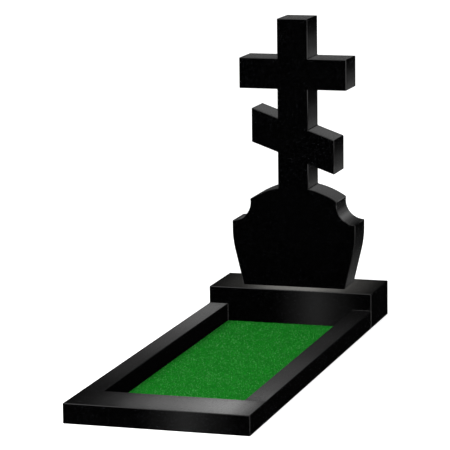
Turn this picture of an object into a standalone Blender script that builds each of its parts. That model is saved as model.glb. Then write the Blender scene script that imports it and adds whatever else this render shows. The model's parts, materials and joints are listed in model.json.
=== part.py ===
"""A grave memorial in polished black granite, with a bed of short turf.

The headstone is one slab, an eight-ended cross over a domed and scooped body. It stands on a rectangular
plinth, and a kerb of three bars lies in front of the plinth around the turf.

Metres. X runs to the right as seen from the front, +Y to the back and Z up. The ground is z = 0, and the
origin is on the ground in the middle of the whole footprint.
"""

import math

import bmesh
import bpy

# How the stones are worked and set
ARRIS = 0.002  # the small chamfer taken off every edge
SEAM = 0.0003  # the hairline left open where two stones meet

# Plinth and kerb
WIDTH = 0.600  # both, from side to side
PLINTH_DEPTH = 0.250
PLINTH_HEIGHT = 0.125
KERB_LENGTH = 1.500  # from the plinth's front face to the front of the kerb
SIDE_RAIL_WIDTH = 0.070
FRONT_RAIL_DEPTH = 0.175
KERB_HEIGHT = 0.065

# Turf
TURF_THICKNESS = 0.005
TURF_MARGIN = 0.001  # between the turf's edge and the kerb
TURF_EDGE = 0.001  # how far the turf's top edge is rounded off

# The slab's thickness, and its heights, stacked from the foot up
SLAB_THICKNESS = 0.135
FLARE_HEIGHT = 0.165  # the foot to the corner where the leaning flank turns upright
FLANK_HEIGHT = 0.069  # the upright flank above that corner
SCOOP_HEIGHT = 0.081  # the hollow scoop above the flank
DOME_RISE = 0.0485  # the dome's crown above the scoop's top, hidden behind the shaft
SLANT_CLEARANCE = 0.0495  # the crown to the slanted bar's lowest corner
SLANT_HEIGHT = 0.123  # the slanted bar, measured upright
SLANT_DROP = 0.109  # how much lower its right end is than its left
BAR_SPACING = 0.069  # the slanted bar's highest corner to the crossbar's underside
CROSSBAR_HEIGHT = 0.110
HEAD_HEIGHT = 0.141  # the shaft above the crossbar

# The slab's widths, stacked from the middle out
SHAFT_WIDTH = 0.112
CROSSBAR_ARM = 0.1405  # how far each arm stands out from the shaft
SLANT_ARM = 0.096
DOME_REACH = 0.105  # the shaft's side to the scoop's top
SCOOP_REACH = 0.067  # the scoop's top to the flank
FLARE_LEAN = 0.040  # how far the flank leans in from its corner to the foot

# The slab's curves
SCOOP_SWEEP = math.radians(101.0)
FLANK_BEND_RADIUS = 0.350
MOST_BEND_SHARE = 0.9  # the most of a straight flank that its round bend may take up
SCOOP_STEPS = 24
BEND_STEPS = 12
DOME_STEPS = 14

# Heights and half widths that follow
SHOULDER_Z = FLARE_HEIGHT + FLANK_HEIGHT
SCOOP_TOP_Z = SHOULDER_Z + SCOOP_HEIGHT
SLANT_MIDDLE_Z = SCOOP_TOP_Z + DOME_RISE + SLANT_CLEARANCE + (SLANT_HEIGHT + SLANT_DROP) / 2
CROSSBAR_Z = SLANT_MIDDLE_Z + (SLANT_HEIGHT + SLANT_DROP) / 2 + BAR_SPACING
SLAB_HEIGHT = CROSSBAR_Z + CROSSBAR_HEIGHT + HEAD_HEIGHT
SHAFT_HALF = SHAFT_WIDTH / 2
CROSSBAR_HALF = SHAFT_HALF + CROSSBAR_ARM
SLANT_HALF = SHAFT_HALF + SLANT_ARM
DOME_HALF = SHAFT_HALF + DOME_REACH
SHOULDER_HALF = DOME_HALF + SCOOP_REACH
FOOT_HALF = SHOULDER_HALF - FLARE_LEAN

# Places along Y that follow, from the front of the kerb to the back of the plinth
BACK_Y = (KERB_LENGTH + PLINTH_DEPTH) / 2
PLINTH_FRONT_Y = BACK_Y - PLINTH_DEPTH
KERB_FRONT_Y = PLINTH_FRONT_Y - KERB_LENGTH
BED_FRONT_Y = KERB_FRONT_Y + FRONT_RAIL_DEPTH
BED_HALF_WIDTH = WIDTH / 2 - SIDE_RAIL_WIDTH


def clear_scene():
    for obj in list(bpy.data.objects):
        bpy.data.objects.remove(obj, do_unlink=True)


def make_material(name, color, roughness):
    material = bpy.data.materials.new(name)
    material.use_nodes = True
    shader = material.node_tree.nodes["Principled BSDF"]
    shader.inputs["Base Color"].default_value = (*color, 1.0)
    shader.inputs["Roughness"].default_value = roughness
    shader.inputs["Metallic"].default_value = 0.0
    material.diffuse_color = (*color, 1.0)
    return material


def add_object(name, shape, location, material, parent):
    """Turn a bmesh into a named object that stands at location."""
    mesh = bpy.data.meshes.new(name)
    bmesh.ops.recalc_face_normals(shape, faces=shape.faces)
    shape.to_mesh(mesh)
    shape.free()
    mesh.materials.append(material)
    obj = bpy.data.objects.new(name, mesh)
    bpy.context.collection.objects.link(obj)
    obj.location = location
    obj.parent = parent
    return obj


def chamfer_edges(obj, width):
    """Take the same small chamfer off every sharp edge, and leave the facets of an arc alone."""
    arris = obj.modifiers.new("arris", "BEVEL")
    arris.width = width
    arris.segments = 1
    arris.limit_method = "ANGLE"
    arris.angle_limit = math.radians(30.0)
    obj.data.shade_smooth()
    obj.data.set_sharp_from_angle(angle=math.radians(20.0))


def make_block(name, size, location, arris, material, parent):
    """A rectangular block whose location is the middle of its underside."""
    shape = bmesh.new()
    bmesh.ops.create_cube(shape, size=1.0)
    bmesh.ops.scale(shape, vec=size, verts=shape.verts)
    bmesh.ops.translate(shape, vec=(0.0, 0.0, size[2] / 2), verts=shape.verts)
    block = add_object(name, shape, location, material, parent)
    chamfer_edges(block, arris)
    return block


def arc_between(start, end, sweep, steps):
    """Points on the arc from start to end that turns left through sweep, with both ends."""
    chord_x, chord_z = end[0] - start[0], end[1] - start[1]
    offset = 0.5 / math.tan(sweep / 2)
    centre_x = (start[0] + end[0]) / 2 - chord_z * offset
    centre_z = (start[1] + end[1]) / 2 + chord_x * offset
    radius = math.hypot(start[0] - centre_x, start[1] - centre_z)
    first = math.atan2(start[1] - centre_z, start[0] - centre_x)
    return [
        (centre_x + radius * math.cos(first + sweep * i / steps),
         centre_z + radius * math.sin(first + sweep * i / steps))
        for i in range(steps + 1)
    ]


def flank_bend():
    """The flank's round bend, from its upright part down to its leaning part, as a fillet of their corner."""
    lean = math.atan2(FLARE_LEAN, FLARE_HEIGHT)
    reach = FLANK_BEND_RADIUS * math.tan(lean / 2)
    reach = min(reach, MOST_BEND_SHARE * FLANK_HEIGHT, MOST_BEND_SHARE * FLARE_HEIGHT)
    upper = (SHOULDER_HALF, FLARE_HEIGHT + reach)
    lower = (SHOULDER_HALF - reach * math.sin(lean), FLARE_HEIGHT - reach * math.cos(lean))
    return arc_between(lower, upper, lean, BEND_STEPS)


def dome_side():
    """The dome's curve from the top of the scoop in to the shaft."""
    radius = (DOME_HALF**2 + DOME_RISE**2) / (2 * DOME_RISE)
    centre_z = SCOOP_TOP_Z + DOME_RISE - radius
    first = math.atan2(SCOOP_TOP_Z - centre_z, DOME_HALF)
    last = math.acos(SHAFT_HALF / radius)
    angles = [first + (last - first) * i / DOME_STEPS for i in range(DOME_STEPS + 1)]
    return [(radius * math.cos(a), centre_z + radius * math.sin(a)) for a in angles]


def slant_z(x):
    """The slanted bar's middle height at x: it falls from left to right."""
    return SLANT_MIDDLE_Z - SLANT_DROP * x / (2 * SLANT_HALF)


def slab_side(side):
    """The slab's outline on one side, from the foot up, as (x, z). side is 1 on the right, -1 on the left."""
    scoop = arc_between((DOME_HALF, SCOOP_TOP_Z), (SHOULDER_HALF, SHOULDER_Z), SCOOP_SWEEP, SCOOP_STEPS)
    body = [(FOOT_HALF, 0.0)] + flank_bend() + scoop[::-1] + dome_side()[1:]
    points = [(side * x, z) for x, z in body]
    slant_inner, slant_outer = side * SHAFT_HALF, side * SLANT_HALF
    points += [
        (slant_inner, slant_z(slant_inner) - SLANT_HEIGHT / 2),
        (slant_outer, slant_z(slant_outer) - SLANT_HEIGHT / 2),
        (slant_outer, slant_z(slant_outer) + SLANT_HEIGHT / 2),
        (slant_inner, slant_z(slant_inner) + SLANT_HEIGHT / 2),
    ]
    points += [
        (side * SHAFT_HALF, CROSSBAR_Z),
        (side * CROSSBAR_HALF, CROSSBAR_Z),
        (side * CROSSBAR_HALF, CROSSBAR_Z + CROSSBAR_HEIGHT),
        (side * SHAFT_HALF, CROSSBAR_Z + CROSSBAR_HEIGHT),
    ]
    points.append((side * SHAFT_HALF, SLAB_HEIGHT))
    return points


def make_slab(name, location, material, parent):
    """The headstone, its outline pushed through the slab's thickness. Its location is the middle of its foot."""
    outline = slab_side(1) + slab_side(-1)[::-1]
    shape = bmesh.new()
    front = shape.faces.new([shape.verts.new((x, -SLAB_THICKNESS / 2, z)) for x, z in outline])
    pushed = bmesh.ops.extrude_face_region(shape, geom=[front])
    back = [item for item in pushed["geom"] if isinstance(item, bmesh.types.BMVert)]
    bmesh.ops.translate(shape, vec=(0.0, SLAB_THICKNESS, 0.0), verts=back)
    slab = add_object(name, shape, location, material, parent)
    chamfer_edges(slab, ARRIS)
    return slab


def make_plinth(material, parent):
    size = (WIDTH, PLINTH_DEPTH, PLINTH_HEIGHT)
    middle_y = PLINTH_FRONT_Y + PLINTH_DEPTH / 2
    return make_block("plinth", size, (0.0, middle_y, 0.0), ARRIS, material, parent)


def make_stele(material, parent):
    middle_y = PLINTH_FRONT_Y + PLINTH_DEPTH / 2
    return make_slab("stele", (0.0, middle_y, PLINTH_HEIGHT + SEAM), material, parent)


def make_kerb(material, parent):
    """Two side rails that butt against the plinth, and a front rail across their ends."""
    front_size = (WIDTH, FRONT_RAIL_DEPTH, KERB_HEIGHT)
    front_y = KERB_FRONT_Y + FRONT_RAIL_DEPTH / 2
    make_block("kerb_front", front_size, (0.0, front_y, 0.0), ARRIS, material, parent)
    rail_length = PLINTH_FRONT_Y - BED_FRONT_Y - 2 * SEAM
    rail_size = (SIDE_RAIL_WIDTH, rail_length, KERB_HEIGHT)
    rail_y = (PLINTH_FRONT_Y + BED_FRONT_Y) / 2
    for name, side in (("kerb_left", -1), ("kerb_right", 1)):
        rail_x = side * (BED_HALF_WIDTH + SIDE_RAIL_WIDTH / 2)
        make_block(name, rail_size, (rail_x, rail_y, 0.0), ARRIS, material, parent)


def make_turf(material, parent):
    """The turf that fills the bed, level with the ground around it but for its own thickness."""
    width = 2 * (BED_HALF_WIDTH - TURF_MARGIN)
    length = PLINTH_FRONT_Y - BED_FRONT_Y - 2 * TURF_MARGIN
    middle_y = (PLINTH_FRONT_Y + BED_FRONT_Y) / 2
    size = (width, length, TURF_THICKNESS)
    return make_block("turf", size, (0.0, middle_y, 0.0), TURF_EDGE, material, parent)


def main():
    clear_scene()
    granite = make_material("polished black granite", (0.010, 0.010, 0.011), 0.08)
    grass = make_material("green turf", (0.014, 0.190, 0.018), 0.9)
    memorial = bpy.data.objects.new("memorial", None)
    bpy.context.collection.objects.link(memorial)
    make_plinth(granite, memorial)
    make_stele(granite, memorial)
    make_kerb(granite, memorial)
    make_turf(grass, memorial)


main()
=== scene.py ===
# %% [markdown]
# # A black granite memorial, dressed in Blender
#
# The stones and the turf bed already exist as solids at their real size. This lesson keeps that geometry as a
# fixed frame and gives it a look: polished stone, hairline joints, short grass, and the light of a studio.
# Everything is in metres, X to the right as seen from the front, +Y to the back, Z up, and the ground is z = 0.

# %% Load the frame
import json
import math
import random

import bmesh
import bpy
from mathutils import Matrix, Vector

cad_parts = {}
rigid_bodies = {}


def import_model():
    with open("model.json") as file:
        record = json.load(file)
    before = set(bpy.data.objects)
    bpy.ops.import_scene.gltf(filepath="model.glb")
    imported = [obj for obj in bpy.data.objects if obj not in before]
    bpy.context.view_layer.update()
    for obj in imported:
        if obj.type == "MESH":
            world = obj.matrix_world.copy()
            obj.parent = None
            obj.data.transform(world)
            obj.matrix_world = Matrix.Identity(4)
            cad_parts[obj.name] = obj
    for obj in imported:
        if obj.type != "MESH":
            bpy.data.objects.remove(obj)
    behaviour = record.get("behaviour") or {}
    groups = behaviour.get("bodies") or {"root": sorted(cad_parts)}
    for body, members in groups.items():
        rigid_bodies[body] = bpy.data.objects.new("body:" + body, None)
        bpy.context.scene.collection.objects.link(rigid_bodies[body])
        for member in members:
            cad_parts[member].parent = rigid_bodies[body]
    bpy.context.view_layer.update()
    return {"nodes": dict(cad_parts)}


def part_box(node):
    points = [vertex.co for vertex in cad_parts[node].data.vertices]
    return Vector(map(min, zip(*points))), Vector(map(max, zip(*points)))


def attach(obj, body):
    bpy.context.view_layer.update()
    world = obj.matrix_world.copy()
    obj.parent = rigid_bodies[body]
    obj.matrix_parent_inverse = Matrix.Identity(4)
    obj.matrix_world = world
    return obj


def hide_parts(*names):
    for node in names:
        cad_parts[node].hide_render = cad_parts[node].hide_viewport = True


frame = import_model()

STONES = ("stele", "plinth", "kerb_left", "kerb_right", "kerb_front")
print("frame nodes:", sorted(frame["nodes"]))

# %% [markdown]
# ## The camera
#
# The picture is close to a parallel view: edges that run back hardly converge. That means a long lens from far
# away. The camera stands to the right of the memorial and a little above it. It is written as a point that it
# looks at, with an azimuth, an elevation and a distance, since those are easy to reason about. A slight roll
# shares out what is left of the picture's drawn perspective, whose upright edges don't converge at all.

# %% Camera
CAMERA_TARGET = Vector((-0.036, -0.024, 0.4775))
CAMERA_AZIMUTH = math.radians(17.30)
CAMERA_ELEVATION = math.radians(10.51)
CAMERA_ROLL = math.radians(-0.70)
CAMERA_DISTANCE = 8.543
CAMERA_LENS_MM = 206.2


def aim_camera():
    """Place the camera at its distance from the target, turned, tipped and rolled."""
    turn = Matrix.Rotation(CAMERA_AZIMUTH, 4, "Z")
    tip = Matrix.Rotation(math.radians(90.0) - CAMERA_ELEVATION, 4, "X")
    roll = Matrix.Rotation(CAMERA_ROLL, 4, "Z")
    back = Matrix.Translation((0.0, 0.0, CAMERA_DISTANCE))
    camera = bpy.data.objects.new("studio_camera", bpy.data.cameras.new("studio_camera"))
    camera.matrix_world = Matrix.Translation(CAMERA_TARGET) @ turn @ tip @ back @ roll
    camera.data.lens = CAMERA_LENS_MM
    bpy.context.collection.objects.link(camera)
    bpy.context.scene.camera = camera
    return camera


camera = aim_camera()
EYE = camera.matrix_world.translation.copy()
print("camera at", [round(value, 3) for value in EYE])

# %% [markdown]
# ## Writing shaders as sums
#
# A node tree is easiest to read as a formula. The class below wraps one output socket, so that `a * 0.5 + b`
# adds the Math nodes for it, and `1 - mask` and `height > 0.7` work too. Every other node comes from one method,
# `node`, which takes the node's type, then its settings, then what goes into its sockets. Colours don't go
# through Math nodes, which would turn them grey: they are blended by a Mix node.

# %% A small language for shaders
class Socket:
    """One output socket of a node tree."""

    def __init__(self, tree, output):
        self.tree = tree
        self.output = output

    def math(self, operation, first, second):
        return node(self.tree, "ShaderNodeMath", {"operation": operation}, {0: first, 1: second})

    def __add__(self, other):
        return self.math("ADD", self, other)

    def __sub__(self, other):
        return self.math("SUBTRACT", self, other)

    def __rsub__(self, other):
        return self.math("SUBTRACT", other, self)

    def __mul__(self, other):
        return self.math("MULTIPLY", self, other)

    def __gt__(self, other):
        return self.math("GREATER_THAN", self, other)

    __radd__ = __add__
    __rmul__ = __mul__


def set_stops(ramp, stops, interpolation):
    """Give a colour ramp its grey stops, each a position and a brightness."""
    ramp.interpolation = interpolation
    while len(ramp.elements) > 1:
        ramp.elements.remove(ramp.elements[-1])
    for place, (position, grey) in enumerate(stops):
        stop = ramp.elements.new(position) if place else ramp.elements[0]
        stop.position = position
        stop.color = (grey, grey, grey, 1.0)


def node(tree, kind, settings=None, inputs=None, output=0):
    """Add a node: its settings first, then values or links for its inputs. Gives one of its outputs."""
    made = tree.nodes.new(kind)
    settings = dict(settings or {})
    if "stops" in settings:
        set_stops(made.color_ramp, settings.pop("stops"), settings.pop("interpolation", "LINEAR"))
    for name, value in settings.items():
        setattr(made, name, value)
    for name, value in (inputs or {}).items():
        if isinstance(value, Socket):
            tree.links.new(value.output, made.inputs[name])
        else:
            made.inputs[name].default_value = value
    return Socket(tree, made.outputs[output]) if made.outputs else None


def blend(tree, mask, color_a, color_b):
    """A colour that goes from color_a where the mask is 0 to color_b where it is 1."""
    colors = {6: (*color_a, 1.0) if isinstance(color_a, tuple) else color_a,
              7: (*color_b, 1.0) if isinstance(color_b, tuple) else color_b}
    return node(tree, "ShaderNodeMix", {"data_type": "RGBA"}, {0: mask, **colors}, output=2)


def new_material(name):
    """An empty material with its output node, ready for a shader."""
    material = bpy.data.materials.new(name)
    material.use_nodes = True
    material.node_tree.nodes.clear()
    return material, material.node_tree


def use_shader(tree, shader):
    """End a material's tree in its shader."""
    node(tree, "ShaderNodeOutputMaterial", {}, {"Surface": shader})


# %% [markdown]
# ## The floor and the sky
#
# The memorial stands on plain white, as in a catalogue. The floor is a large white sheet that is lit past full
# white, so only a faint shade shows right at the foot of the stones. Black polished stone mirrors whatever is
# around it, and a white room would turn its sides grey. A photographer hangs black cloth for that. Here the
# world does it: rays that leave the stone as a reflection see a room that is dark in front and behind, with soft
# light overhead and at both sides, and all other rays see a bright white one. An even light would make a flat
# mirror look matt, so this one comes in soft patches, and a polished top shows a sweep from light to dark.

# %% Floor and world
FLOOR_HALF_SIZE = 40.0
FLOOR_WHITE = 0.70
FLOOR_GLOW = 0.60
ROOM_WHITE = 0.92  # what matt surfaces are lit by
SKY_STOPS = [(0.0, 0.002), (0.14, 0.004), (0.30, 0.02), (0.42, 0.32), (0.60, 0.65), (1.0, 0.65)]
LEFT_STOPS = [(0.36, 0.0), (0.65, 0.20), (1.0, 0.45)]
RIGHT_STOPS = [(0.36, 0.0), (0.65, 0.14), (1.0, 0.28)]
PATCH_STOPS = [(0.36, 0.30), (0.64, 1.0)]
PATCH_SCALE = 4.5  # the patches are about a quarter of the room's half width across
PATCH_STRENGTH = 2.0


def make_floor():
    """A white sheet that glows, under the memorial and far beyond it."""
    shape = bmesh.new()
    bmesh.ops.create_grid(shape, x_segments=1, y_segments=1, size=FLOOR_HALF_SIZE)
    mesh = bpy.data.meshes.new("studio_floor")
    shape.to_mesh(mesh)
    shape.free()
    material, tree = new_material("white paper")
    matt = node(tree, "ShaderNodeBsdfDiffuse", {}, {"Color": (FLOOR_WHITE,) * 3 + (1.0,)})
    glow = node(tree, "ShaderNodeEmission", {}, {"Strength": FLOOR_GLOW})
    use_shader(tree, node(tree, "ShaderNodeAddShader", {}, {0: matt, 1: glow}))
    material.cycles.emission_sampling = "NONE"
    mesh.materials.append(material)
    floor = bpy.data.objects.new("studio_floor", mesh)
    bpy.context.collection.objects.link(floor)
    floor.visible_glossy = False


def make_world():
    """White for the camera and for matt surfaces, and for reflections a dark room with soft light."""
    world = bpy.data.worlds.new("studio")
    world.use_nodes = True
    tree = world.node_tree
    tree.nodes.clear()
    direction = node(tree, "ShaderNodeTexCoord", {}, {}, output="Generated")
    height = node(tree, "ShaderNodeSeparateXYZ", {}, {0: direction}, output="Z")
    rightness = node(tree, "ShaderNodeSeparateXYZ", {}, {0: direction}, output="X")
    soft = {"interpolation": "EASE"}
    sky = node(tree, "ShaderNodeValToRGB", {"stops": SKY_STOPS, **soft}, {0: height})
    left = node(tree, "ShaderNodeValToRGB", {"stops": LEFT_STOPS, **soft}, {0: rightness * -1.0})
    right = node(tree, "ShaderNodeValToRGB", {"stops": RIGHT_STOPS, **soft}, {0: rightness})
    patches = node(tree, "ShaderNodeValToRGB", {"stops": PATCH_STOPS, **soft}, {
        0: node(tree, "ShaderNodeTexNoise", {}, {"Vector": direction, "Scale": PATCH_SCALE, "Detail": 0.0})})
    seen = node(tree, "ShaderNodeLightPath", {}, {}, output="Is Camera Ray")
    mirrored = node(tree, "ShaderNodeLightPath", {}, {}, output="Is Glossy Ray")
    brightness = (seen + mirrored * (sky + left + right) * patches * PATCH_STRENGTH
                  + (1 - seen - mirrored) * ROOM_WHITE)
    light = node(tree, "ShaderNodeBackground", {}, {"Color": (1.0, 1.0, 1.0, 1.0), "Strength": brightness})
    node(tree, "ShaderNodeOutputWorld", {}, {"Surface": light})
    world.cycles.sampling_method = "NONE"
    bpy.context.scene.world = world
    bpy.context.scene.view_settings.view_transform = "Standard"


make_floor()
make_world()

# %% [markdown]
# A broad lamp hangs overhead and gives the grass a direction to its light. The stones don't mirror it.

# %% Overhead lamp
LAMP_PLACE = Vector((-0.5, -2.4, 3.0))
LAMP_SIZE = 2.4
LAMP_WATTS = 150.0


def make_lamp():
    """A square lamp that looks at the middle of the memorial."""
    lamp = bpy.data.objects.new("overhead_lamp", bpy.data.lights.new("overhead_lamp", "AREA"))
    lamp.data.size = LAMP_SIZE
    lamp.data.energy = LAMP_WATTS
    lamp.location = LAMP_PLACE
    lamp.rotation_euler = (-LAMP_PLACE).to_track_quat("-Z", "Y").to_euler()
    lamp.visible_glossy = False
    bpy.context.collection.objects.link(lamp)


make_lamp()

# %% [markdown]
# ## The black granite
#
# The stone is a black gabbro, sold as black granite. Close to, it isn't one black: dark crystals a millimetre
# across lie side by side, some of them a shade greyer, with a few small glints. Polished, it mirrors like glass.
# The crystals come from a Voronoi pattern, whose cells are flat-sided like grains, each with its own random
# grey. They are worked out from the object's own coordinates in metres, so their size is real on every stone.
# The polish dips a little on the softer grains. The slab's and the plinth's backs, which nobody sees, are only
# fine ground, as masons leave them. Ground stone scatters light, so it is a dull dark grey with its grains plain
# to see. A mask finds it by two facts: the surface looks back, and it lies at the grave's head.

# %% Granite
GRAIN_PER_METRE = 850.0
CLOUDS_PER_METRE = 9.0
CLOUD_SHARE = 0.2  # how far the clouds shift the share of pale grains
PALE_GRAIN_STOPS = [(0.45, 0.0), (0.95, 1.0)]
GLINT_STOPS = [(0.975, 0.0), (0.985, 1.0)]
STONE_IOR = 1.5
GRANITE_DEEP = (0.0001, 0.0001, 0.0001)
GRANITE_PALE = (0.0010, 0.0010, 0.0011)
GLINT = (0.014, 0.015, 0.017)
POLISH = 0.045
SOFT_GRAIN_ROUGHNESS = 0.05
GROUND_DEEP = (0.014, 0.014, 0.015)
GROUND_PALE = (0.036, 0.036, 0.038)
GROUND_ROUGHNESS = 0.42
GROUND_FROM_Y = 0.70  # no surface in front of this is left ground
GROUND_FACES_BACK = 0.95  # how squarely a ground surface looks back, from 0 to 1


def granite_material():
    """Black stone, polished all over but for the ground backs."""
    material, tree = new_material("polished black granite")
    place = node(tree, "ShaderNodeTexCoord", {}, {}, output="Object")
    cells = node(tree, "ShaderNodeTexVoronoi", {"feature": "F1", "distance": "EUCLIDEAN"},
                 {"Vector": place, "Scale": GRAIN_PER_METRE}, output="Color")
    chance = node(tree, "ShaderNodeSeparateColor", {}, {0: cells}, output=0)
    clouds = node(tree, "ShaderNodeTexNoise", {}, {"Vector": place, "Scale": CLOUDS_PER_METRE, "Detail": 2.0})
    pale_grain = node(tree, "ShaderNodeValToRGB", {"stops": PALE_GRAIN_STOPS},
                      {0: chance + clouds * CLOUD_SHARE - CLOUD_SHARE / 2})
    glint = node(tree, "ShaderNodeValToRGB", {"stops": GLINT_STOPS}, {0: chance})
    stone = blend(tree, pale_grain, GRANITE_DEEP, GRANITE_PALE)
    stone = blend(tree, glint, stone, GLINT)
    facing = node(tree, "ShaderNodeNewGeometry", {}, {}, output="Normal")
    facing_back = node(tree, "ShaderNodeSeparateXYZ", {}, {0: facing}, output="Y")
    place_y = node(tree, "ShaderNodeSeparateXYZ", {}, {0: place}, output="Y")
    ground = (place_y > GROUND_FROM_Y) * (facing_back > GROUND_FACES_BACK)
    stone = blend(tree, ground, stone, blend(tree, pale_grain, GROUND_DEEP, GROUND_PALE))
    roughness = pale_grain * SOFT_GRAIN_ROUGHNESS + ground * (GROUND_ROUGHNESS - POLISH) + POLISH
    use_shader(tree, node(tree, "ShaderNodeBsdfPrincipled", {}, {
        "Base Color": stone, "Roughness": roughness, "IOR": STONE_IOR}))
    return material


granite = granite_material()
print("granite nodes:", len(granite.node_tree.nodes))

# %% [markdown]
# ## The slab, with its curves smoothed
#
# The frame's slab is faceted: its dome, scoops and flanks are runs of narrow flats. On a mirror finish each flat
# would flash by itself, where the real slab is ground to one round sweep. The plinth and the kerb are all flats
# and keep their own nodes. The slab is shown by a copy of its mesh, merged back into whole faces and shaded
# smooth wherever two faces meet at a small angle, so that no edge of the outline moves.

# %% The slab
SMOOTH_BELOW = math.radians(30.0)  # edges that bend less are shaded round
FLAT_WITHIN = math.radians(0.5)
SAME_POINT = 0.00005


def whole_faces(node_name):
    """A node's mesh with doubled points merged and the triangles of each flat joined to one face."""
    shape = bmesh.new()
    shape.from_mesh(frame["nodes"][node_name].data)
    bmesh.ops.remove_doubles(shape, verts=shape.verts, dist=SAME_POINT)
    bmesh.ops.dissolve_limit(shape, angle_limit=FLAT_WITHIN, verts=shape.verts, edges=shape.edges)
    shape.normal_update()
    return shape


def make_slab():
    """The slab that is seen in place of the frame's."""
    shape = whole_faces("stele")
    for face in shape.faces:
        face.smooth = True
    for edge in shape.edges:
        edge.smooth = edge.calc_face_angle() < SMOOTH_BELOW
    mesh = bpy.data.meshes.new("polished_slab")
    shape.to_mesh(mesh)
    shape.free()
    mesh.materials.append(granite)
    slab = bpy.data.objects.new("polished_slab", mesh)
    bpy.context.collection.objects.link(slab)
    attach(slab, "root")
    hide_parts("stele")
    return slab


def shown_stones():
    """Each stone's visible object by its node's name, in granite. They mirror the room, not each other."""
    shown = {name: frame["nodes"][name] for name in STONES}
    for stone in shown.values():
        for slot in stone.material_slots:
            slot.material = granite
    shown["stele"] = make_slab()
    for stone in shown.values():
        stone.visible_glossy = False
    return shown


shown = shown_stones()
print("slab faces:", len(shown["stele"].data.polygons))

# %% [markdown]
# ## The joints
#
# The rails butt against the plinth and the front rail. Masons fill such a joint with resin and polish it with
# the stone. At the two front corners the resin is black and the joint can't be seen. At the plinth it is a shade
# greyer, and its edge shows as a fine line. Each bed is a plate as wide and high as the rail, a hair smaller all
# round so that it stays behind the stone, with its edges eased where the resin draws back from them.

# %% Joints
ARRIS = 0.002  # the chamfer on the stones' edges
BED_INSET = 0.00008
BED_EASE = 0.00025
RESIN_DARK = (0.014, 0.014, 0.0133)
RESIN_LIGHT = (0.026, 0.026, 0.0247)
RESIN_CLOUDS_PER_METRE = 220.0
RESIN_ROUGHNESS = 0.08


def make_bed(name, node_name, front_y, back_y, material):
    """A plate across a rail's end, from front_y to back_y."""
    low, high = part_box(node_name)
    left, right, top = low[0] + BED_INSET, high[0] - BED_INSET, high[2] - BED_INSET
    shape = bmesh.new()
    bmesh.ops.create_cube(shape, size=1.0)
    bmesh.ops.scale(shape, verts=shape.verts, vec=(right - left, back_y - front_y, top - low[2]))
    bmesh.ops.translate(shape, verts=shape.verts,
                        vec=((left + right) / 2, (front_y + back_y) / 2, (low[2] + top) / 2))
    bmesh.ops.bevel(shape, geom=shape.edges, offset=BED_EASE, offset_type="OFFSET", segments=2, profile=0.5,
                    affect="EDGES")
    mesh = bpy.data.meshes.new(name)
    shape.to_mesh(mesh)
    shape.free()
    mesh.materials.append(material)
    bed = bpy.data.objects.new(name, mesh)
    bpy.context.collection.objects.link(bed)
    bed.visible_glossy = False
    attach(bed, "root")
    return bed


def resin_material():
    """Grey resin, a little cloudy and almost as finely polished as the stone."""
    material, tree = new_material("grey joint resin")
    place = node(tree, "ShaderNodeTexCoord", {}, {}, output="Object")
    cloud = node(tree, "ShaderNodeTexNoise", {}, {
        "Vector": place, "Scale": RESIN_CLOUDS_PER_METRE, "Detail": 2.0})
    use_shader(tree, node(tree, "ShaderNodeBsdfPrincipled", {}, {
        "Base Color": blend(tree, cloud, RESIN_DARK, RESIN_LIGHT),
        "Roughness": RESIN_ROUGHNESS, "IOR": STONE_IOR}))
    return material


resin = resin_material()
plinth_front, corner_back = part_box("plinth")[0][1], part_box("kerb_front")[1][1]
for rail in ("kerb_left", "kerb_right"):
    rail_low, rail_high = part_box(rail)
    joint, corner = f"joint_{rail}", f"corner_{rail}"
    shown[joint] = make_bed(joint, rail, rail_high[1] - ARRIS, plinth_front, resin)
    shown[corner] = make_bed(corner, rail, corner_back - ARRIS, rail_low[1] + ARRIS, granite)
print("joints:", [name for name in shown if name not in STONES])

# %% [markdown]
# ## The turf
#
# Short even grass, a few millimetres high. Up close it is thousands of stiff little blades, and from a step
# away it is a green with a fine speckle of light tips and dark gaps. A picture of grass on a flat sheet would
# look painted on, and particles wouldn't be kept in an exported model, so the blades are real mesh: slim
# three-sided spikes that lean every way, packed on a thin mat. They are made as one long array of points,
# because forty thousand separate objects would take minutes.

# %% Turf
BLADE_COUNT = 44000
BLADE_LOW, BLADE_HIGH = 0.0022, 0.0046  # how tall the blades are
BLADE_HALF_WIDTH = 0.00075
BLADE_LEAN = 0.0028  # how far a tip may lean out
ROOT_DEPTH = 0.0004  # how deep a blade's root sits in the mat
MAT_TOP = 0.0010
MAT_OVERLAP = 0.0019  # how far the turf is tucked in under the stones' lower arrises
TURF_SEED = 7


def scattered_roots(box_low, box_high, count, chance):
    """Blade places on a loose grid: even cover, with each blade shifted at random within its own cell."""
    width, length = box_high[0] - box_low[0], box_high[1] - box_low[1]
    columns = round(math.sqrt(count * width / length))
    rows = round(count / columns)
    step_x, step_y = width / columns, length / rows
    return [
        (box_low[0] + (column + chance.random()) * step_x, box_low[1] + (row + chance.random()) * step_y)
        for row in range(rows)
        for column in range(columns)
    ]


def blade_points(root, chance, inside):
    """The three root corners and the tip of one blade."""
    x, y = root
    turn = chance.uniform(0.0, math.tau)
    points = [
        (x + BLADE_HALF_WIDTH * math.cos(turn + third * math.tau / 3),
         y + BLADE_HALF_WIDTH * math.sin(turn + third * math.tau / 3), MAT_TOP - ROOT_DEPTH)
        for third in range(3)
    ]
    lean, way = chance.uniform(0.0, BLADE_LEAN), chance.uniform(0.0, math.tau)
    tip = (x + lean * math.cos(way), y + lean * math.sin(way), chance.uniform(BLADE_LOW, BLADE_HIGH))
    return [inside(point) for point in points + [tip]]


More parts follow.
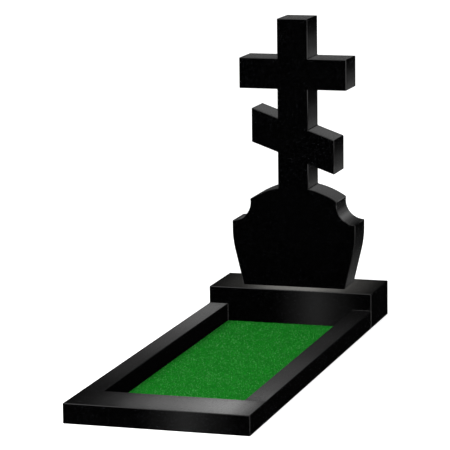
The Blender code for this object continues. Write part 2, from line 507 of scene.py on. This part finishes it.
def make_turf():
    """The mat and all its blades as one mesh."""
    low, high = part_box("turf")
    low = (low[0] - MAT_OVERLAP, low[1] - MAT_OVERLAP, low[2])
    high = (high[0] + MAT_OVERLAP, high[1] + MAT_OVERLAP, high[2])
    chance = random.Random(TURF_SEED)

    def inside(point):
        """The point, kept over the mat, and clear of the stones where it stands higher than the mat."""
        clear = MAT_OVERLAP if point[2] > MAT_TOP else 0.0
        return (min(max(point[0], low[0] + clear), high[0] - clear),
                min(max(point[1], low[1] + clear), high[1] - clear), point[2])

    points, faces = [], []
    for root in scattered_roots(low, high, BLADE_COUNT, chance):
        first = len(points)
        points += blade_points(root, chance, inside)
        faces += [(first + a, first + b, first + c) for a, b, c in ((0, 1, 3), (1, 2, 3), (2, 0, 3), (2, 1, 0))]
    first = len(points)
    points += [(x, y, z) for z in (low[2], MAT_TOP) for x, y in
               ((low[0], low[1]), (high[0], low[1]), (high[0], high[1]), (low[0], high[1]))]
    sides = ((0, 3, 2, 1), (4, 5, 6, 7), (0, 1, 5, 4), (1, 2, 6, 5), (2, 3, 7, 6), (3, 0, 4, 7))
    faces += [tuple(first + corner for corner in side) for side in sides]
    mesh = bpy.data.meshes.new("turf_mat")
    mesh.from_pydata(points, [], faces)
    turf = bpy.data.objects.new("turf_mat", mesh)
    bpy.context.collection.objects.link(turf)
    return turf


# %% [markdown]
# The green changes in three ways. It wanders between dark and light in patches of a few millimetres and, more
# faintly, of a few centimetres. Where the fine patches are lightest, dry tips add pale flecks. And a painted
# shade darkens each blade at its root, and the mat under them, where less light gets in. Height is the object's
# own z, so that painted shade needs no texture.

# %% Turf colour
GRASS_DARK = (0.001, 0.145, 0.008)
GRASS_LIGHT = (0.005, 0.465, 0.011)
GRASS_FLECK = (0.260, 0.620, 0.270)
# painted shade: the dark green low on each blade and on the mat, where less light gets in
GRASS_ROOT_SHADE = (0.001, 0.090, 0.004)
GREEN_STOPS = [(0.35, 0.0), (0.65, 1.0)]
FLECK_STOPS = [(0.51, 0.0), (0.74, 1.0)]
SPECKLE_PER_METRE = 210.0
SPECKLE_SHARE = 0.66  # how much of the green's change is fine speckle, and the rest is wide patches
PATCH_PER_METRE = 22.0
GRASS_ROUGHNESS = 0.75
GRASS_SHINE = 0.05
NAP = 0.45  # the speckle's width over its length, which lies along the bed


def grass_material():
    """Green blades with painted shade at the root and on the mat, speckled, and pale here and there at the tip.
    """
    material, tree = new_material("short green turf")
    place = node(tree, "ShaderNodeTexCoord", {}, {}, output="Object")
    height = node(tree, "ShaderNodeSeparateXYZ", {}, {0: place}, output="Z")
    combed = node(tree, "ShaderNodeMapping", {}, {"Vector": place, "Scale": (1.0, NAP, 1.0)})
    speckle = node(tree, "ShaderNodeTexNoise", {}, {
        "Vector": combed, "Scale": SPECKLE_PER_METRE, "Detail": 3.0})
    patch = node(tree, "ShaderNodeTexNoise", {}, {"Vector": place, "Scale": PATCH_PER_METRE, "Detail": 2.0})
    mask = node(tree, "ShaderNodeValToRGB", {"stops": GREEN_STOPS},
                {0: speckle * SPECKLE_SHARE + patch * (1.0 - SPECKLE_SHARE)})
    fleck = node(tree, "ShaderNodeValToRGB", {"stops": FLECK_STOPS}, {0: speckle})
    green = blend(tree, fleck, blend(tree, mask, GRASS_DARK, GRASS_LIGHT), GRASS_FLECK)
    # painted shade: from the mat up to BLADE_LOW the colour goes from the root shade to the full green
    tip = node(tree, "ShaderNodeMapRange", {"clamp": True},
               {0: height, 1: MAT_TOP, 2: BLADE_LOW, 3: 0.0, 4: 1.0})
    use_shader(tree, node(tree, "ShaderNodeBsdfPrincipled", {}, {
        "Base Color": blend(tree, tip, GRASS_ROOT_SHADE, green),
        "Roughness": GRASS_ROUGHNESS, "Specular IOR Level": GRASS_SHINE}))
    return material


turf = make_turf()
turf.data.materials.append(grass_material())
turf.visible_glossy = False
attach(turf, "root")
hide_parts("turf")
print("turf faces:", len(turf.data.polygons))

# %% [markdown]
# ## Light cards, hung by their mirror image
#
# A polished face shows no light of its own. It shows whatever stands where its mirror image of the camera
# looks. So the soft greys on the stones are made as in a real studio, with glowing cards, and the question is
# only where to hang each one. The sum is short: mirror the camera in the face's plane, look from there through
# the face, and see where that line meets the wall that the cards hang on. Each corner of a face gives one
# corner of its card. What is painted along the card then lies along the face in the same way.
#
# Cards are seen in reflections only. They neither show in the picture nor cast light or shade on matt surfaces,
# and each one shines on its own stones, as if flags kept it off the others.

# %% Where a card hangs
BACK_WALL_Y = 3.0
FRONT_WALL_Y = -4.0
CARD_GAP = 0.006  # from one card to the next behind it, so that no two lie in one plane
CARD_MARGIN = 0.02  # how far a card's outline is pushed out past the face that mirrors it
WHITE = (1.0, 1.0, 1.0)


def next_wall(wall_y):
    """The wall, moved back by one gap for each card that hangs already."""
    hung = sum(1 for item in bpy.data.objects if item.name.startswith("card_"))
    return wall_y + math.copysign(hung * CARD_GAP, wall_y)


def mirror_spot(point, normal, wall_y):
    """Where the camera, looking at a mirror at point, sees the wall at y = wall_y."""
    mirrored_eye = EYE - 2.0 * (EYE - point).dot(normal) * normal
    line = point - mirrored_eye
    return point + line * ((wall_y - point.y) / line.y)


def spread_out(corners, margin):
    """Corners pushed away from their middle by a margin in metres along both of their axes."""
    middle = sum(corners, Vector()) / len(corners)
    across = (corners[1] - corners[0]).normalized()
    along = (corners[3] - corners[0]).normalized()
    return [
        corner
        + across * math.copysign(margin, (corner - middle).dot(across))
        + along * math.copysign(margin, (corner - middle).dot(along))
        for corner in corners
    ]


def card_paint(name, stops, glow, tint):
    """Light whose brightness follows stops from one end of the card to the other."""
    material, tree = new_material(name)
    place = node(tree, "ShaderNodeUVMap", {"uv_map": "along"})
    run = node(tree, "ShaderNodeSeparateXYZ", {}, {0: place}, output="X")
    ramp = node(tree, "ShaderNodeValToRGB", {"stops": stops, "interpolation": "EASE"}, {0: run})
    light = node(tree, "ShaderNodeEmission", {}, {"Color": (*tint, 1.0), "Strength": ramp * glow})
    clear = node(tree, "ShaderNodeBsdfTransparent")
    use_shader(tree, node(tree, "ShaderNodeAddShader", {}, {0: light, 1: clear}))
    material.cycles.emission_sampling = "NONE"
    return material


def hang_card(name, quads, runs, stops, glow, stones, tint=WHITE):
    """Glowing gauze in quads. runs says how far along the stops each corner lies. It lights only the stones
    named, and lets the light of cards behind it through."""
    mesh = bpy.data.meshes.new(name)
    corners = [tuple(corner) for quad in quads for corner in quad]
    mesh.from_pydata(corners, [], [tuple(range(first, first + 4)) for first in range(0, len(corners), 4)])
    along = mesh.uv_layers.new(name="along")
    for place, run in enumerate(runs):
        along.data[place].uv = (run, 0.0)
    mesh.materials.append(card_paint(name, stops, glow, tint))
    card = bpy.data.objects.new(name, mesh)
    bpy.context.collection.objects.link(card)
    card.visible_camera = False
    card.visible_diffuse = False
    card.visible_shadow = False
    card.visible_transmission = False
    card.visible_volume_scatter = False
    lit = bpy.data.collections.new(name + "_lights")
    for stone in stones:
        lit.objects.link(shown[stone])
    card.light_linking.receiver_collection = lit


def card_for_face(name, corners, normal, direction, stops, glow, stones, wall_y=BACK_WALL_Y,
                  margin=CARD_MARGIN, tint=WHITE):
    """Hang the card that a flat face mirrors. The stops run over the face from end to end along direction."""
    lengths = [corner.dot(direction) for corner in corners]
    low, high = min(lengths), max(lengths)
    outer = spread_out(corners, margin)
    runs = [(corner.dot(direction) - low) / (high - low) for corner in outer]
    wall_y = next_wall(wall_y)
    spots = [mirror_spot(corner, normal, wall_y) for corner in outer]
    hang_card(name, [spots], runs, stops, glow, stones, tint)


X_AXIS, Y_AXIS, Z_AXIS = Vector((1, 0, 0)), Vector((0, 1, 0)), Vector((0, 0, 1))
EVEN = [(0.0, 1.0), (1.0, 1.0)]


def top_of(node_name):
    """The four corners of a node's top, counted round."""
    low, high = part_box(node_name)
    return [Vector((x, y, high[2])) for x, y in
            ((low[0], low[1]), (high[0], low[1]), (high[0], high[1]), (low[0], high[1]))]


def front_of(node_name):
    """The four corners of a node's front face, counted round."""
    low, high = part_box(node_name)
    return [Vector((x, low[1], z)) for x, z in
            ((low[0], low[2]), (high[0], low[2]), (high[0], high[2]), (low[0], high[2]))]


# %% [markdown]
# The kerb's tops carry the strongest light. Along the front rail it swells slowly from the left corner, is
# brightest shortly before the right one, and drops quickly there. The side rails fade in opposite ways: the
# left one grows lighter to the back, the right one darker. The plinth's ledge has a soft glow in the middle, and
# both front faces show a faint upright gleam right of the middle.

# %% Cards for the kerb and the plinth
FRONT_RAIL_STOPS = [(0.0, 0.0), (0.12, 0.02), (0.24, 0.08), (0.38, 0.28), (0.5, 0.47),
                    (0.86, 1.0), (0.93, 0.58), (1.0, 0.24)]
LEFT_RAIL_STOPS = [(0.0, 0.03), (0.35, 0.18), (0.6, 0.42), (0.85, 0.82), (1.0, 1.0)]
RIGHT_RAIL_STOPS = [(0.0, 1.0), (0.15, 0.52), (0.3, 0.36), (0.6, 0.145), (1.0, 0.01)]
LEDGE_STOPS = [(0.0, 0.03), (0.17, 0.11), (0.45, 0.88), (0.6, 0.97), (0.75, 0.50), (0.85, 0.17), (1.0, 0.03)]
GLEAM_STOPS = [(0.42, 0.0), (0.5, 0.24), (0.67, 1.0), (0.73, 0.68), (0.8, 0.30), (0.95, 0.0)]
GLEAM_GLOW = 0.42
LEDGE_TINT = (1.0, 0.985, 0.93)
TOPS = {
    # the card: the stone whose top mirrors it, the way its stops run, its glow, what it lights, its tint
    "card_front_rail": ("kerb_front", X_AXIS, FRONT_RAIL_STOPS, 1.15, ["kerb_front"], WHITE),
    "card_left_rail": ("kerb_left", Y_AXIS, LEFT_RAIL_STOPS, 0.43, ["kerb_left", "corner_kerb_left"], WHITE),
    "card_right_rail": ("kerb_right", Y_AXIS, RIGHT_RAIL_STOPS, 0.45,
                        ["kerb_right", "corner_kerb_right"], WHITE),
    "card_ledge": ("plinth", X_AXIS, LEDGE_STOPS, 0.70, ["plinth"], LEDGE_TINT),
}

for name, (stone, direction, stops, glow, lit_stones, tint) in TOPS.items():
    card_for_face(name, top_of(stone), Z_AXIS, direction, stops, glow, lit_stones, tint=tint)
for stone in ("plinth", "kerb_front"):
    card_for_face(f"card_gleam_{stone}", front_of(stone), -Y_AXIS, X_AXIS, GLEAM_STOPS, GLEAM_GLOW, [stone],
                  wall_y=FRONT_WALL_Y)

# %% [markdown]
# The two joints at the plinth get small even cards of their own: one for the rim on top of the right rail, and
# one for each rim that looks to the right, inside the left rail and outside the right one. A rim lies in one
# plane with its rail, so the card for the rail's whole side serves its rim.

# %% Cards for the joints
JOINT_TOP_GLOW, JOINT_SIDE_GLOW = 0.46, 0.60
JOINT_CARD_MARGIN = 0.15  # wide, since the resin's mirror image is a little blurred


def right_side_of(node_name):
    """The four corners of a node's right side, counted round."""
    low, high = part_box(node_name)
    return [Vector((high[0], y, z)) for y, z in
            ((low[1], low[2]), (high[1], low[2]), (high[1], high[2]), (low[1], high[2]))]


for rail in ("kerb_left", "kerb_right"):
    card_for_face(f"card_joint_{rail}", right_side_of(rail), X_AXIS, Z_AXIS, EVEN, JOINT_SIDE_GLOW,
                  [f"joint_{rail}"], margin=JOINT_CARD_MARGIN)
card_for_face("card_joint_top", top_of("kerb_right"), Z_AXIS, Y_AXIS, EVEN, JOINT_TOP_GLOW,
              ["joint_kerb_right"], margin=JOINT_CARD_MARGIN)

# %% [markdown]
# The slab needs a card for each flat across its thickness that the camera sees: its level tops, its slanted
# ones and its right sides. They are found in the frame's own mesh: triangles that lie in one plane are merged
# back into faces, and those that look the right way are kept. The tops get an even light. The sides fade from
# nearly black at the top to a dark grey at the bottom.

# %% Cards for the slab's flats
LEAST_FLAT_AREA = 0.005
SAME_WAY = 0.999  # the least cosine between a face's normal and the one looked for
SLANT_DROP, SLANT_WIDTH = 0.109, 0.304  # how far the slanted bar falls over its width


def flats_of(node_name, normal):
    """The corners of each large flat face of a node that looks along normal."""
    shape = whole_faces(node_name)
    flats = [
        [vert.co.copy() for vert in face.verts]
        for face in shape.faces
        if face.normal.dot(normal) > SAME_WAY and face.calc_area() > LEAST_FLAT_AREA
    ]
    shape.free()
    return flats


def four_corners(points, normal):
    """The rectangle, square to the Y axis, that just holds a flat face's points."""
    side = Y_AXIS.cross(normal)
    lengths = [point.dot(side) for point in points]
    depths = [point.y for point in points]
    level = points[0].dot(normal)
    return [side * length + Y_AXIS * depth + normal * level for length, depth in
            ((min(lengths), min(depths)), (max(lengths), min(depths)),
             (max(lengths), max(depths)), (min(lengths), max(depths)))]


SLANT_NORMAL = Vector((SLANT_DROP, 0.0, SLANT_WIDTH)).normalized()
RIGHT_SIDE_STOPS = [(0.0, 1.0), (0.35, 0.43), (0.75, 0.08), (1.0, 0.01)]
SLAB_FLATS = {
    # the kind of face: the way it looks, the way its stops run, the stops, the glow
    "top": (Z_AXIS, X_AXIS, EVEN, 0.22),
    "slant": (SLANT_NORMAL, X_AXIS, EVEN, 0.33),
    "side": (X_AXIS, Z_AXIS, RIGHT_SIDE_STOPS, 0.22),
}

for kind, (normal, direction, stops, glow) in SLAB_FLATS.items():
    for count, flat in enumerate(flats_of("stele", normal)):
        card_for_face(f"card_{kind}_{count}", four_corners(flat, normal), normal, direction, stops, glow,
                      ["stele"])

# %% [markdown]
# A curved surface sweeps its mirror image over a wide arc, so its card is a ribbon: each narrow face of the
# curve gives one quad of it, and the smooth normals at the corners make the quads meet. The dome's ribbon is
# even. The right scoop's is brightest in the middle of its turn, and the flank's grows lighter towards the foot.

# %% Cards for the slab's curves
FOOT_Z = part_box("stele")[0][2]
SHOULDER_HEIGHT, SCOOP_TOP_HEIGHT, DOME_TOP_HEIGHT = 0.234, 0.315, 0.3635  # above the slab's foot
SHOULDER_Z = FOOT_Z + SHOULDER_HEIGHT
SCOOP_TOP_Z = FOOT_Z + SCOOP_TOP_HEIGHT
DOME_TOP_Z = FOOT_Z + DOME_TOP_HEIGHT
SCOOP_SWEEP = math.radians(101.0)
SHAFT_HALF = 0.056  # half the width of the cross's shaft, beside which the curves begin
RIBBON_MARGIN = 0.025
MOST_Y_SHARE = 0.02  # a face whose normal has more of Y than this is a front, a back or a chamfer
NEAR_WALL_Y = 0.90  # so near that the shoulder's chamfer and the slanted bar's end look past the scoop's card
LEAST_CURVE_AREA = 0.0005  # a smaller face belongs to a worked corner, not to a curve


def hang_ribbon(name, belongs, run_at, stops, glow, wall_y):
    """Hang one quad for each of the slab's narrow faces that belongs to a curve and that the camera sees."""
    mesh = shown["stele"].data
    wall_y = next_wall(wall_y)
    quads, runs = [], []
    for face in mesh.polygons:
        seen = face.normal.dot(EYE - face.center) > 0.0
        if abs(face.normal.y) > MOST_Y_SHARE or not seen or not belongs(face):
            continue
        quad = []
        for loop in face.loop_indices:
            point = mesh.vertices[mesh.loops[loop].vertex_index].co.copy()
            normal = mesh.corner_normals[loop].vector.copy()
            runs.append(run_at(point, normal))
            point.y += math.copysign(RIBBON_MARGIN, point.y - face.center.y)
            quad.append(mirror_spot(point, normal, wall_y))
        quads.append(quad)
    print(name, "quads:", len(quads))
    hang_card(name, quads, runs, stops, glow, ["stele"])


def between(low_z, high_z, side):
    """A test for the curve faces on one side of the slab between two heights."""
    def belongs(face):
        return (face.area > LEAST_CURVE_AREA and low_z < face.center.z < high_z
                and face.center.x * side > SHAFT_HALF)
    return belongs


def anywhere(point, normal):
    """The middle of the stops, for a card that is even all over."""
    return 0.5


def turned(point, normal):
    """How far the scoop has turned, from 0 where it is level to 1 at its steep upper end."""
    return math.acos(max(-1.0, min(1.0, normal.z))) / SCOOP_SWEEP


def up_the_flank(point, normal):
    """How high up the flank a point lies, from 0 at the foot to 1 at the shoulder."""
    return (point.z - FOOT_Z) / (SHOULDER_Z - FOOT_Z)


SCOOP_STOPS = [(0.0, 0.03), (0.12, 0.05), (0.25, 0.18), (0.5, 1.0), (0.63, 0.47), (0.8, 0.09), (1.0, 0.01)]
FLANK_STOPS = [(0.0, 1.0), (0.35, 0.5), (0.7, 0.16), (1.0, 0.02)]
RIGHT, LEFT = 1, -1
CURVES = {
    # the card: where its curve lies on the slab, the way along its stops, the stops, the glow, the wall
    "card_dome_right": ((SCOOP_TOP_Z, DOME_TOP_Z, RIGHT), anywhere, EVEN, 0.26, BACK_WALL_Y),
    "card_dome_left": ((SCOOP_TOP_Z, DOME_TOP_Z, LEFT), anywhere, EVEN, 0.07, BACK_WALL_Y),
    "card_scoop_right": ((SHOULDER_Z, SCOOP_TOP_Z, RIGHT), turned, SCOOP_STOPS, 0.51, NEAR_WALL_Y),
    "card_scoop_left": ((SHOULDER_Z, SCOOP_TOP_Z, LEFT), anywhere, EVEN, 0.09, BACK_WALL_Y),
    "card_flank": ((FOOT_Z, SHOULDER_Z, RIGHT), up_the_flank, FLANK_STOPS, 0.16, BACK_WALL_Y),
}

for name, (where, run_at, stops, glow, wall_y) in CURVES.items():
    hang_ribbon(name, between(*where), run_at, stops, glow, wall_y)

# %% [markdown]
# One more card stands far off to the right. Only the narrow chamfers on the stones' upright front edges mirror
# it, and it draws them as fine light lines, plain on the cross and fainter from the slab's shoulders down.

# %% Card for the arrises
RIGHT_WALL_X = 4.0
ARRIS_CARD_LOW, ARRIS_CARD_HIGH = Vector((0.0, -2.8, -1.0)), Vector((0.0, 0.2, 0.6))
ARRIS_CARD_STOPS = [(0.0, 0.2), (0.30, 0.2), (0.52, 1.0), (1.0, 1.0)]
ARRIS_CARD_GLOW = 0.85


def hang_arris_card():
    """One upright card, whose stops run from its foot to its top."""
    low, high = ARRIS_CARD_LOW, ARRIS_CARD_HIGH
    quad = [Vector((RIGHT_WALL_X, y, z)) for y, z in
            ((low.y, low.z), (high.y, low.z), (high.y, high.z), (low.y, high.z))]
    hang_card("card_arrises", [quad], [0.0, 0.0, 1.0, 1.0], ARRIS_CARD_STOPS, ARRIS_CARD_GLOW, STONES)


hang_arris_card()
